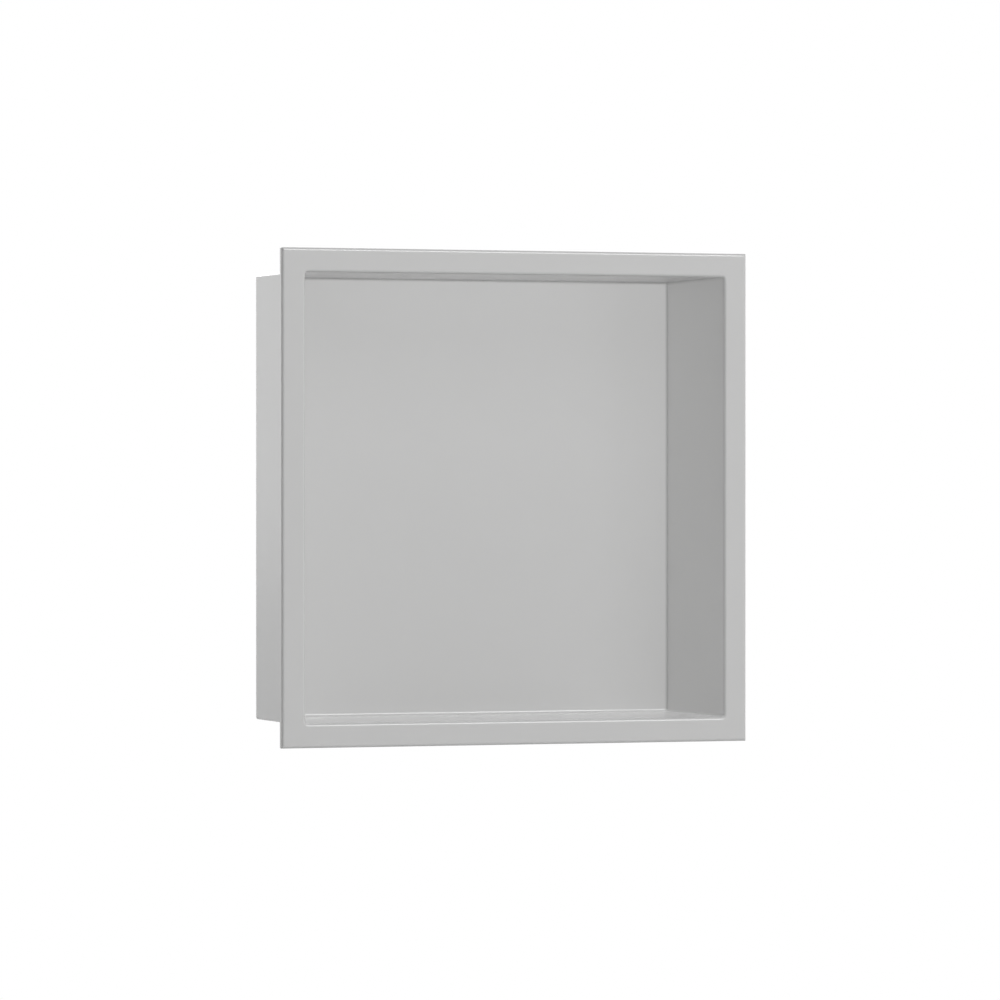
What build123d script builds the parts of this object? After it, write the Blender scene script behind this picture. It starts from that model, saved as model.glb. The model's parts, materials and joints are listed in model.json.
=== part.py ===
from build123d import *
import os

# Recessed shower niche, folded and welded from one thickness of sheet: a square tub that is let into
# the wall, and round its mouth a flat flange that laps the tiles and is turned back to meet them.
# Millimetres. The origin is the middle of the mouth on the face of the wall, +Y runs into the wall,
# the niche opens towards -Y and +Z is up.

# Driving dimensions
TUB_WIDTH = 300.0  # over the outside of the side walls
TUB_HEIGHT = 300.0  # over the outside of the floor and the ceiling
TUB_DEPTH = 101.0  # from the face of the wall to the outside of the back panel
FLANGE_LAP = 15.0  # how far the flange reaches past the tub, on every side
FLANGE_PROUD = 5.0  # how far the flange stands off the face of the wall
SHEET = 1.2  # thickness of the sheet
FOLD = 2.0  # radius of every fold, on the face of the sheet that shows
TUB_EDGE = 1.5  # ground round on the outer edges of the tub, which is welded from panels
RIM_CORNER = 0.5  # ground corners of the flange's rim, seen from the front

# Sizes that follow from them
FOLD_BEHIND_FLANGE = FOLD - SHEET
FLANGE_WIDTH = TUB_WIDTH + 2 * FLANGE_LAP
FLANGE_HEIGHT = TUB_HEIGHT + 2 * FLANGE_LAP


def tub_block(inset, front, edge_round):
    """Block inside the tub's skin, inset from the walls and the back, from front to the back panel."""
    width = TUB_WIDTH - 2 * inset
    height = TUB_HEIGHT - 2 * inset
    depth = TUB_DEPTH - inset - front
    block = Pos(0, front, 0) * Box(width, depth, height, align=(Align.CENTER, Align.MIN, Align.CENTER))
    rear_edges = block.faces().sort_by(Axis.Y)[-1].edges()
    wall_edges = block.edges().filter_by(Axis.Y)
    return fillet(rear_edges + wall_edges, edge_round)


def flange_side(length, inset):
    """Bar with the flange's rounded front, as wide as length, drawn on the plan and centred on it."""
    half = length / 2 - inset
    front = inset - FLANGE_PROUD
    outline = make_face(Polyline((-half, 0), (-half, front), (half, front), (half, 0), close=True))
    return fillet(outline.vertices().group_by(Axis.Y)[0], FOLD - inset)


def flange_block(inset):
    """Block under the flange's skin, inset from its front and its rim, with mitred corners."""
    across = extrude(flange_side(FLANGE_WIDTH, inset), FLANGE_HEIGHT / 2 - inset, both=True)
    upright = extrude(flange_side(FLANGE_HEIGHT, inset), FLANGE_WIDTH / 2 - inset, both=True)
    return across & Rot(0, 90, 0) * upright


def flange_outline():
    """Prism of the flange's front view, with its ground corners."""
    outline = Plane.XZ * RectangleRounded(FLANGE_WIDTH, FLANGE_HEIGHT, RIM_CORNER)
    return extrude(outline, FLANGE_PROUD)


def niche():
    """The whole folded sheet as one solid."""
    flange = (flange_block(0) & flange_outline()) - flange_block(SHEET)
    tub = tub_block(0, SHEET - FLANGE_PROUD, TUB_EDGE)
    cavity = tub_block(SHEET, -FLANGE_PROUD, FOLD)
    sheet = flange + tub - cavity
    # The fold at the mouth: the round behind the flange first, then the round that shows
    behind_flange = sheet.faces().filter_by(Plane.XZ).sort_by(Axis.Y)[1]
    sheet = fillet(behind_flange.inner_wires()[0].edges(), FOLD_BEHIND_FLANGE)
    front_face = sheet.faces().filter_by(Plane.XZ).sort_by(Axis.Y)[0]
    return fillet(front_face.inner_wires()[0].edges(), FOLD)


os.makedirs("parts", exist_ok=True)
export_step(niche(), "parts/niche_insert.step")
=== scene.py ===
import json
import math
from collections import namedtuple

import bmesh
import bpy
from mathutils import Euler, Matrix, Vector


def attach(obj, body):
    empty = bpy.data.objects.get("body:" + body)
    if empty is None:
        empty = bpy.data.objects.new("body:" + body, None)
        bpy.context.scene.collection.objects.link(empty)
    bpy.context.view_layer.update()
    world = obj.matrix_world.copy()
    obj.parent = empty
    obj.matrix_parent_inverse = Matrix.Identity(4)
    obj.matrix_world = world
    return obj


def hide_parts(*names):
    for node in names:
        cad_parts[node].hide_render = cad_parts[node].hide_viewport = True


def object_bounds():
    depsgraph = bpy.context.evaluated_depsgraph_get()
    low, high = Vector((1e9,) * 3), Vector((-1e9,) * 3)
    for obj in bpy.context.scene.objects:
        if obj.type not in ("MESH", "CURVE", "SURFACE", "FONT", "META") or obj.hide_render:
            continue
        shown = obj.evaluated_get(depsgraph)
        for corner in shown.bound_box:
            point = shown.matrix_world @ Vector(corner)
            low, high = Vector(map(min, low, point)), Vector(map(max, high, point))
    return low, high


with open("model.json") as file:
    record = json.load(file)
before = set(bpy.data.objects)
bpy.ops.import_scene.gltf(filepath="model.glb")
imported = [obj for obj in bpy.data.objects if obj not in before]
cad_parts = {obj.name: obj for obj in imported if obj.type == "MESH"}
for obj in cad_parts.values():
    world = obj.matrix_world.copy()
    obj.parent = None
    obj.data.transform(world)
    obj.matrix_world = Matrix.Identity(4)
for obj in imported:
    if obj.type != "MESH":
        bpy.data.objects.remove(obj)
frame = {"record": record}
CAD_LOW, CAD_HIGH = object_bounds()

bl_info = {
    "name": "Shower niche insert",
    "version": (1, 0, 0),
    "blender": (4, 5, 0),
    "location": "View3D > Sidebar > Niche",
    "description": "Folds a recessed shower niche from coated sheet and sets it on a studio stage",
    "category": "Add Mesh",
}

# What the frame gives, in metres. The face of the wall is the plane y = 0. +Y runs into the wall
MOUNTS = {mount["name"]: Vector(mount["pos_m"]) for mount in frame["record"]["mounts"]}
COAT_SLOT = frame["record"]["materials"][0]
FLANGE_HALF = Vector((CAD_HIGH.x, CAD_HIGH.z))
FLANGE_FRONT = CAD_LOW.y
WALL_FACE = MOUNTS["wall_flange"].y
TUB_BACK = MOUNTS["tub_back"].y
SHEET = MOUNTS["niche_floor"].z - MOUNTS["tub_underside"].z
FLANGE_LAP = FLANGE_HALF.y + MOUNTS["tub_underside"].z
TUB_HALF = FLANGE_HALF - Vector((FLANGE_LAP, FLANGE_LAP))

SQUARE_TURN = math.pi / 2
TOUCH = 1e-6  # metres within which two places are one
FLOOR_SIDES = 96  # straight sides that make the round floor
WHITE = (1.0, 1.0, 1.0, 1.0)

# Rounded rectangle round the mouth: half width and height, corner radius and place along Y
Ring = namedtuple("Ring", "half corner depth")

# Soft boxes by their bearing from the niche: turn to the right of the front and rise above level
SoftBox = namedtuple("SoftBox", "turn rise shadow")
SOFT_BOXES = {
    "key": SoftBox(math.radians(25), math.radians(30), False),
    "side": SoftBox(math.radians(-135), math.radians(30), False),
    "back": SoftBox(math.radians(180), math.radians(25), False),
    "rear": SoftBox(math.radians(-163), math.radians(12), True),
    "front": SoftBox(0.0, math.radians(35), True),
    "overhead": SoftBox(0.0, math.radians(90), True),
}


class NicheSizes(bpy.types.PropertyGroup):
    """Sizes of the folded sheet that the frame doesn't give."""

    fold: bpy.props.FloatProperty(
        name="Fold",
        description="Radius of every fold, on the face of the sheet that shows",
        default=0.002,
        subtype="DISTANCE",
        unit="LENGTH",
    )
    fold_steps: bpy.props.IntProperty(
        name="Fold steps",
        description="Strips of faces round each fold",
        default=10,
        min=2,
    )
    tub_edge: bpy.props.FloatProperty(
        name="Tub edge",
        description="Ground round on the outer edges of the tub",
        default=0.0015,
        subtype="DISTANCE",
        unit="LENGTH",
    )
    rim_corner: bpy.props.FloatProperty(
        name="Rim corner",
        description="Ground corners of the flange's rim, seen from the front",
        default=0.0005,
        subtype="DISTANCE",
        unit="LENGTH",
    )
    edge_round: bpy.props.FloatProperty(
        name="Edge round",
        description="Rounding of the coat over the cut edge of the return lip",
        default=0.00025,
        subtype="DISTANCE",
        unit="LENGTH",
    )
    edge_steps: bpy.props.IntProperty(
        name="Edge steps",
        description="Strips of faces round the cut edge",
        default=2,
        min=1,
    )


class NicheCoat(bpy.types.PropertyGroup):
    """Colour, gloss and grain of the satin coat."""

    colour: bpy.props.FloatVectorProperty(
        name="Colour",
        description="Light concrete grey of the coat",
        default=COAT_SLOT["base_color"][:3],
        subtype="COLOR",
        min=0.0,
        max=1.0,
    )
    mottle: bpy.props.FloatProperty(
        name="Mottle",
        description="How much the colour wanders across the coat",
        default=0.012,
        subtype="FACTOR",
        min=0.0,
        max=1.0,
    )
    mottle_width: bpy.props.FloatProperty(
        name="Mottle width",
        description="Width of the widest patches of colour",
        default=0.0714,
        subtype="DISTANCE",
        unit="LENGTH",
    )
    mottle_detail: bpy.props.FloatProperty(
        name="Mottle detail",
        description="Layers of smaller patches in the mottle",
        default=4.0,
        min=0.0,
    )
    roughness: bpy.props.FloatProperty(
        name="Roughness",
        description="Satin gloss of the coat",
        default=0.23,
        subtype="FACTOR",
        min=0.0,
        max=1.0,
    )
    gloss_change: bpy.props.FloatProperty(
        name="Gloss change",
        description="How much the roughness wanders with the mottle",
        default=0.006,
        subtype="FACTOR",
        min=0.0,
        max=1.0,
    )
    peel_width: bpy.props.FloatProperty(
        name="Peel width",
        description="Width of the ripples that a sprayed and baked coat sets in",
        default=0.003,
        subtype="DISTANCE",
        unit="LENGTH",
    )
    peel_height: bpy.props.FloatProperty(
        name="Peel height",
        description="Height of the ripples",
        default=0.0000006,
        subtype="DISTANCE",
        unit="LENGTH",
    )
    peel_detail: bpy.props.FloatProperty(
        name="Peel detail",
        description="Layers of smaller ripples",
        default=3.0,
        min=0.0,
    )


class NicheStage(bpy.types.PropertyGroup):
    """Camera, floor and light."""

    camera_place: bpy.props.FloatVectorProperty(
        name="Camera place",
        description="Where the camera stands",
        default=(-1.2828, -3.51335, 0.01162),
        subtype="TRANSLATION",
        unit="LENGTH",
    )
    camera_turn: bpy.props.FloatProperty(
        name="Camera turn",
        description="Turn of the camera to the right of straight ahead",
        default=math.radians(19.903),
        subtype="ANGLE",
        unit="ROTATION",
    )
    camera_tilt: bpy.props.FloatProperty(
        name="Camera tilt",
        description="Tilt of the camera below level",
        default=math.radians(0.2022),
        subtype="ANGLE",
        unit="ROTATION",
    )
    lens: bpy.props.FloatProperty(
        name="Lens",
        description="Focal length of the camera, in millimetres",
        default=201.43,
        min=1.0,
    )
    camera_reach: bpy.props.FloatProperty(
        name="Camera reach",
        description="How far the camera sees",
        default=100.0,
        subtype="DISTANCE",
        unit="LENGTH",
    )
    floor_drop: bpy.props.FloatProperty(
        name="Floor drop",
        description="Floor below the lower edge of the flange",
        default=0.5,
        subtype="DISTANCE",
        unit="LENGTH",
    )
    floor_radius: bpy.props.FloatProperty(
        name="Floor radius",
        description="How far the floor reaches",
        default=8.0,
        subtype="DISTANCE",
        unit="LENGTH",
    )
    shadow_reach: bpy.props.FloatProperty(
        name="Shadow reach",
        description="How far from the niche the floor begins to pass into white",
        default=2.2,
        subtype="DISTANCE",
        unit="LENGTH",
    )
    white_reach: bpy.props.FloatProperty(
        name="White reach",
        description="How far from the niche the floor is white like the surroundings",
        default=3.4,
        subtype="DISTANCE",
        unit="LENGTH",
    )
    floor_grey: bpy.props.FloatProperty(
        name="Floor grey",
        description="How pale the floor is",
        default=0.8,
        subtype="FACTOR",
        min=0.0,
        max=1.0,
    )
    floor_roughness: bpy.props.FloatProperty(
        name="Floor roughness",
        description="How dull the floor is",
        default=0.9,
        subtype="FACTOR",
        min=0.0,
        max=1.0,
    )
    ambient: bpy.props.FloatProperty(
        name="Ambient",
        description="Even light from all round",
        default=0.03,
        min=0.0,
    )
    lamp_reach: bpy.props.FloatProperty(
        name="Lamp reach",
        description="How far the soft boxes stand from the niche",
        default=6.0,
        subtype="DISTANCE",
        unit="LENGTH",
    )
    lamp_size: bpy.props.FloatProperty(
        name="Lamp size",
        description="Side of each soft box",
        default=2.88,
        subtype="DISTANCE",
        unit="LENGTH",
    )
    key_power: bpy.props.FloatProperty(
        name="Key",
        description="Power of the soft box above the front right, which casts no shadow",
        default=265.0,
        unit="POWER",
    )
    side_power: bpy.props.FloatProperty(
        name="Side",
        description="Power of the soft box behind on the left, which casts no shadow",
        default=166.0,
        unit="POWER",
    )
    back_power: bpy.props.FloatProperty(
        name="Back",
        description="Power of the soft box straight behind, which casts no shadow",
        default=60.0,
        unit="POWER",
    )
    rear_power: bpy.props.FloatProperty(
        name="Rear",
        description="Power of the low soft box at the back, which the outer left wall mirrors",
        default=16.0,
        unit="POWER",
    )
    front_power: bpy.props.FloatProperty(
        name="Front",
        description="Power of the soft box in front, which shades the inside of the tub",
        default=37.0,
        unit="POWER",
    )
    overhead_power: bpy.props.FloatProperty(
        name="Overhead",
        description="Power of the soft box straight above, which casts the shadow on the floor",
        default=16.0,
        unit="POWER",
    )


def grown(half, by):
    """Half width and height, each longer by the same amount."""
    return half + Vector((by, by))


def sheet_rings(inset, corner, sizes):
    """Section of one face of the sheet, as rings from the tub's walls to the edge of the lip."""
    fold = sizes.fold - inset
    front = FLANGE_FRONT + inset
    wall = grown(TUB_HALF, inset - SHEET)
    rim = grown(FLANGE_HALF, -inset)
    steps = sizes.fold_steps
    turns = [SQUARE_TURN * step / steps for step in range(steps + 1)]
    mouth = [
        Ring(
            grown(wall, fold * (1 - math.cos(turn))),
            corner + fold * (1 - math.cos(turn)),
            front + fold * (1 - math.sin(turn)),
        )
        for turn in turns
    ]
    edge = [
        Ring(
            grown(rim, fold * (math.sin(turn) - 1)),
            sizes.rim_corner,
            front + fold * (1 - math.cos(turn)),
        )
        for turn in turns
    ]
    return [*mouth, *edge, Ring(rim, sizes.rim_corner, WALL_FACE)]


def round_edges(bm, edges, radius, steps):
    """Round a set of edges by a radius, in that many strips of faces."""
    bmesh.ops.bevel(
        bm,
        geom=edges,
        offset=radius,
        offset_type="OFFSET",
        segments=steps,
        profile=0.5,
        affect="EDGES",
        material=-1,
    )


def fold_tub(bm, ring, back, sizes):
    """One face of the tub, open at the front on the given ring; return its front edges."""
    verts = bmesh.ops.create_cube(bm, size=2.0)["verts"]
    bmesh.ops.scale(bm, vec=(ring.half.x, (back - ring.depth) / 2, ring.half.y), verts=verts)
    bmesh.ops.translate(bm, vec=(0.0, (back + ring.depth) / 2, 0.0), verts=verts)
    sides = {face for vert in verts for face in vert.link_faces}
    open_side = min(sides, key=lambda face: face.calc_center_median().y)
    bmesh.ops.delete(bm, geom=[open_side], context="FACES_ONLY")
    tub = set(verts)
    folds = [edge for edge in bm.edges if tub.issuperset(edge.verts) and not edge.is_boundary]
    round_edges(bm, folds, ring.corner, sizes.fold_steps)
    return [edge for edge in bm.edges if edge.is_boundary and lies_at(edge, ring.depth)]


def lies_at(part, depth):
    """True if an edge or a face lies in the plane at that depth."""
    return all(abs(vert.co.y - depth) < TOUCH for vert in part.verts)


def extrude_ring(bm, loop, was, now):
    """Extrude a loop of edges from one ring to the next; return the new loop."""
    made = bmesh.ops.extrude_edge_only(bm, edges=loop)["geom"]
    verts = [part for part in made if isinstance(part, bmesh.types.BMVert)]
    step = now.half - was.half
    round_by = now.corner / was.corner
    for side_x in (-1, 1):
        for side_z in (-1, 1):
            corner = [vert for vert in verts if vert.co.x * side_x > 0 and vert.co.z * side_z > 0]
            point = Matrix.Translation((-side_x * was.half.x, 0.0, -side_z * was.half.y))
            bmesh.ops.scale(bm, vec=(round_by, 1.0, round_by), space=point, verts=corner)
            move = (side_x * step.x, now.depth - was.depth, side_z * step.y)
            bmesh.ops.translate(bm, vec=move, verts=corner)
    return [part for part in made if isinstance(part, bmesh.types.BMEdge)]


def fold_skin(bm, inset, corner, sizes):
    """One face of the sheet, inset from the face that shows; return the loop at the lip's edge."""
    rings = sheet_rings(inset, corner, sizes)
    loop = fold_tub(bm, rings[0], TUB_BACK - SHEET + inset, sizes)
    for was, now in zip(rings, rings[1:]):
        loop = extrude_ring(bm, loop, was, now)
    return loop


def fold_sheet(sizes):
    """The whole sheet: the face that shows, the hidden face and the cut edge between them."""
    bm = bmesh.new()
    shown = fold_skin(bm, 0.0, sizes.fold, sizes)
    bmesh.ops.reverse_faces(bm, faces=bm.faces)
    hidden = fold_skin(bm, SHEET, sizes.tub_edge, sizes)
    bmesh.ops.bridge_loops(bm, edges=shown + hidden)
    bmesh.ops.recalc_face_normals(bm, faces=bm.faces)
    sharp = [
        edge
        for edge in bm.edges
        if edge.calc_face_angle() > SQUARE_TURN / 2
        and any(lies_at(face, WALL_FACE) for face in edge.link_faces)
    ]
    round_edges(bm, sharp, sizes.edge_round, sizes.edge_steps)
    return bm


def link(nodes, *pairs):
    """Link pairs of sockets in a node tree."""
    for out, into in pairs:
        nodes.id_data.links.new(out, into)


def coat_material(coat):
    """Satin coat, sprayed on and baked: a faint mottle, and ripples too low to see as shapes."""
    material = bpy.data.materials.new("concrete_grey_coat")
    material.use_nodes = True
    nodes = material.node_tree.nodes
    shader = nodes["Principled BSDF"]
    place = nodes.new("ShaderNodeTexCoord").outputs["Object"]

    mottle = nodes.new("ShaderNodeTexNoise")
    mottle.inputs["Scale"].default_value = 1 / coat.mottle_width
    mottle.inputs["Detail"].default_value = coat.mottle_detail
    tint = nodes.new("ShaderNodeMix")
    tint.data_type = "RGBA"
    darker, lighter = 1 - coat.mottle, 1 + coat.mottle
    tint.inputs["A"].default_value = (*(value * darker for value in coat.colour), 1.0)
    tint.inputs["B"].default_value = (*(value * lighter for value in coat.colour), 1.0)

    gloss = nodes.new("ShaderNodeMapRange")
    gloss.inputs["To Min"].default_value = coat.roughness - coat.gloss_change
    gloss.inputs["To Max"].default_value = coat.roughness + coat.gloss_change

    ripple = nodes.new("ShaderNodeTexNoise")
    ripple.inputs["Scale"].default_value = 1 / coat.peel_width
    ripple.inputs["Detail"].default_value = coat.peel_detail
    relief = nodes.new("ShaderNodeBump")
    relief.inputs["Distance"].default_value = coat.peel_height

    link(
        nodes,
        (place, mottle.inputs["Vector"]),
        (place, ripple.inputs["Vector"]),
        (mottle.outputs["Fac"], tint.inputs["Factor"]),
        (tint.outputs["Result"], shader.inputs["Base Color"]),
        (mottle.outputs["Fac"], gloss.inputs["Value"]),
        (gloss.outputs["Result"], shader.inputs["Roughness"]),
        (ripple.outputs["Fac"], relief.inputs["Height"]),
        (relief.outputs["Normal"], shader.inputs["Normal"]),
    )
    return material


class NICHE_OT_fold_sheet(bpy.types.Operator):
    """Fold the tub, the flange and its return lip from one sheet, and coat it"""

    bl_idname = "niche.fold_sheet"
    bl_label = "Fold the sheet"

    def execute(self, context):
        sizes = context.scene.niche_sizes
        bm = fold_sheet(sizes)
        mesh = bpy.data.meshes.new("niche_sheet")
        bm.to_mesh(mesh)
        bm.free()
        mesh.shade_smooth()
        mesh.materials.append(coat_material(context.scene.niche_coat))
        sheet = bpy.data.objects.new("niche_sheet", mesh)
        context.scene.collection.objects.link(sheet)
        sheet.modifiers.new("true flats", "WEIGHTED_NORMAL")
        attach(sheet, "root")
        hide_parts("niche_insert")
        return {"FINISHED"}


def soft_lamp(name, box, power, stage):
    """Square soft box that faces the niche and stays out of the picture itself."""
    light = bpy.data.lights.new(name, "AREA")
    light.shape = "SQUARE"
    light.size = stage.lamp_size
    light.energy = power
    light.use_shadow = box.shadow
    place = Vector((0.0, -stage.lamp_reach, 0.0))
    place.rotate(Euler((-box.rise, 0.0, box.turn)))
    lamp = bpy.data.objects.new(name, light)
    lamp.location = place
    lamp.rotation_euler = (-place).to_track_quat("-Z", "Y").to_euler()
    lamp.visible_camera = False
    bpy.context.scene.collection.objects.link(lamp)


def seen_in_picture(nodes):
    """Socket that is 1 for what the camera sees, straight, mirrored or through clear material."""
    path = nodes.new("ShaderNodeLightPath")
    straight = nodes.new("ShaderNodeMath")
    straight.operation = "MAXIMUM"
    seen = nodes.new("ShaderNodeMath")
    seen.operation = "MAXIMUM"
    link(
        nodes,
        (path.outputs["Is Camera Ray"], straight.inputs[0]),
        (path.outputs["Is Glossy Ray"], straight.inputs[1]),
        (straight.outputs["Value"], seen.inputs[0]),
        (path.outputs["Is Transmission Ray"], seen.inputs[1]),
    )
    return seen.outputs["Value"]


def studio_world(stage):
    """Even light all round that the camera and reflections see as white."""
    world = bpy.data.worlds.new("studio")
    world.use_nodes = True
    nodes = world.node_tree.nodes
    tint = nodes.new("ShaderNodeMix")
    tint.data_type = "RGBA"
    tint.inputs["A"].default_value = (*[stage.ambient] * 3, 1.0)
    tint.inputs["B"].default_value = WHITE
    link(
        nodes,
        (seen_in_picture(nodes), tint.inputs["Factor"]),
        (tint.outputs["Result"], nodes["Background"].inputs["Color"]),
    )
    return world


def floor_material(stage):
    """Pale floor that keeps the shadow of the niche and passes into the white further out."""
    material = bpy.data.materials.new("pale_floor")
    material.use_nodes = True
    nodes = material.node_tree.nodes
    pale = nodes["Principled BSDF"]
    pale.inputs["Base Color"].default_value = (*[stage.floor_grey] * 3, 1.0)
    pale.inputs["Roughness"].default_value = stage.floor_roughness
    white = nodes.new("ShaderNodeEmission")
    place = nodes.new("ShaderNodeTexCoord")
    out_from_niche = nodes.new("ShaderNodeVectorMath")
    out_from_niche.operation = "LENGTH"
    fade = nodes.new("ShaderNodeMapRange")
    fade.interpolation_type = "SMOOTHSTEP"
    fade.inputs["From Min"].default_value = stage.shadow_reach
    fade.inputs["From Max"].default_value = stage.white_reach
    share = nodes.new("ShaderNodeMath")
    share.operation = "MULTIPLY"
    mix = nodes.new("ShaderNodeMixShader")
    link(
        nodes,
        (place.outputs["Object"], out_from_niche.inputs[0]),
        (out_from_niche.outputs["Value"], fade.inputs["Value"]),
        (fade.outputs["Result"], share.inputs[0]),
        (seen_in_picture(nodes), share.inputs[1]),
        (share.outputs["Value"], mix.inputs["Fac"]),
        (pale.outputs["BSDF"], mix.inputs[1]),
        (white.outputs["Emission"], mix.inputs[2]),
        (mix.outputs["Shader"], nodes["Material Output"].inputs["Surface"]),
    )
    return material


def studio_floor(stage):
    """Wide floor under the niche."""
    bm = bmesh.new()
    bmesh.ops.create_circle(
        bm, cap_ends=True, segments=FLOOR_SIDES, radius=stage.floor_radius
    )
    bmesh.ops.translate(bm, vec=(0.0, 0.0, CAD_LOW.z - stage.floor_drop), verts=bm.verts)
    mesh = bpy.data.meshes.new("floor")
    bm.to_mesh(mesh)
    bm.free()
    mesh.materials.append(floor_material(stage))
    floor = bpy.data.objects.new("floor", mesh)
    bpy.context.scene.collection.objects.link(floor)


class NICHE_OT_set_stage(bpy.types.Operator):
    """Set the camera, the floor, the lamps and the white surroundings"""

    bl_idname = "niche.set_stage"
    bl_label = "Set the stage"

    def execute(self, context):
        stage = context.scene.niche_stage
        context.scene.view_settings.view_transform = "Standard"
        context.scene.world = studio_world(stage)
        studio_floor(stage)
        for name, box in SOFT_BOXES.items():
            soft_lamp(name, box, getattr(stage, f"{name}_power"), stage)
        lens = bpy.data.cameras.new("camera")
        lens.lens = stage.lens
        lens.clip_end = stage.camera_reach
        camera = bpy.data.objects.new("camera", lens)
        camera.location = stage.camera_place
        camera.rotation_euler = (SQUARE_TURN - stage.camera_tilt, 0.0, -stage.camera_turn)
        context.scene.collection.objects.link(camera)
        context.scene.camera = camera
        return {"FINISHED"}


class NICHE_PT_steps(bpy.types.Panel):
    """Steps and settings of the niche"""

    bl_idname = "NICHE_PT_steps"
    bl_label = "Shower niche insert"
    bl_space_type = "VIEW_3D"
    bl_region_type = "UI"
    bl_category = "Niche"

    def draw(self, context):
        for operator, name in STEPS:
            box = self.layout.box()
            for settings in SETTINGS[operator]:
                group = getattr(context.scene, settings)
                for key in group.__annotations__:
                    box.prop(group, key)
            box.operator(operator, text=name)


STEPS = (("niche.fold_sheet", "Fold the sheet"), ("niche.set_stage", "Set the stage"))
SETTINGS = {
    "niche.fold_sheet": ("niche_sizes", "niche_coat"),
    "niche.set_stage": ("niche_stage",),
}
CLASSES = (
    NicheSizes,
    NicheCoat,
    NicheStage,
    NICHE_OT_fold_sheet,
    NICHE_OT_set_stage,
    NICHE_PT_steps,
)


def register():
    for cls in CLASSES:
        bpy.utils.register_class(cls)
    bpy.types.Scene.niche_sizes = bpy.props.PointerProperty(type=NicheSizes)
    bpy.types.Scene.niche_coat = bpy.props.PointerProperty(type=NicheCoat)
    bpy.types.Scene.niche_stage = bpy.props.PointerProperty(type=NicheStage)


def unregister():
    del bpy.types.Scene.niche_stage
    del bpy.types.Scene.niche_coat
    del bpy.types.Scene.niche_sizes
    for cls in reversed(CLASSES):
        bpy.utils.unregister_class(cls)


def main():
    register()
    bpy.ops.niche.fold_sheet()
    bpy.ops.niche.set_stage()


if __name__ == "__main__":
    main()
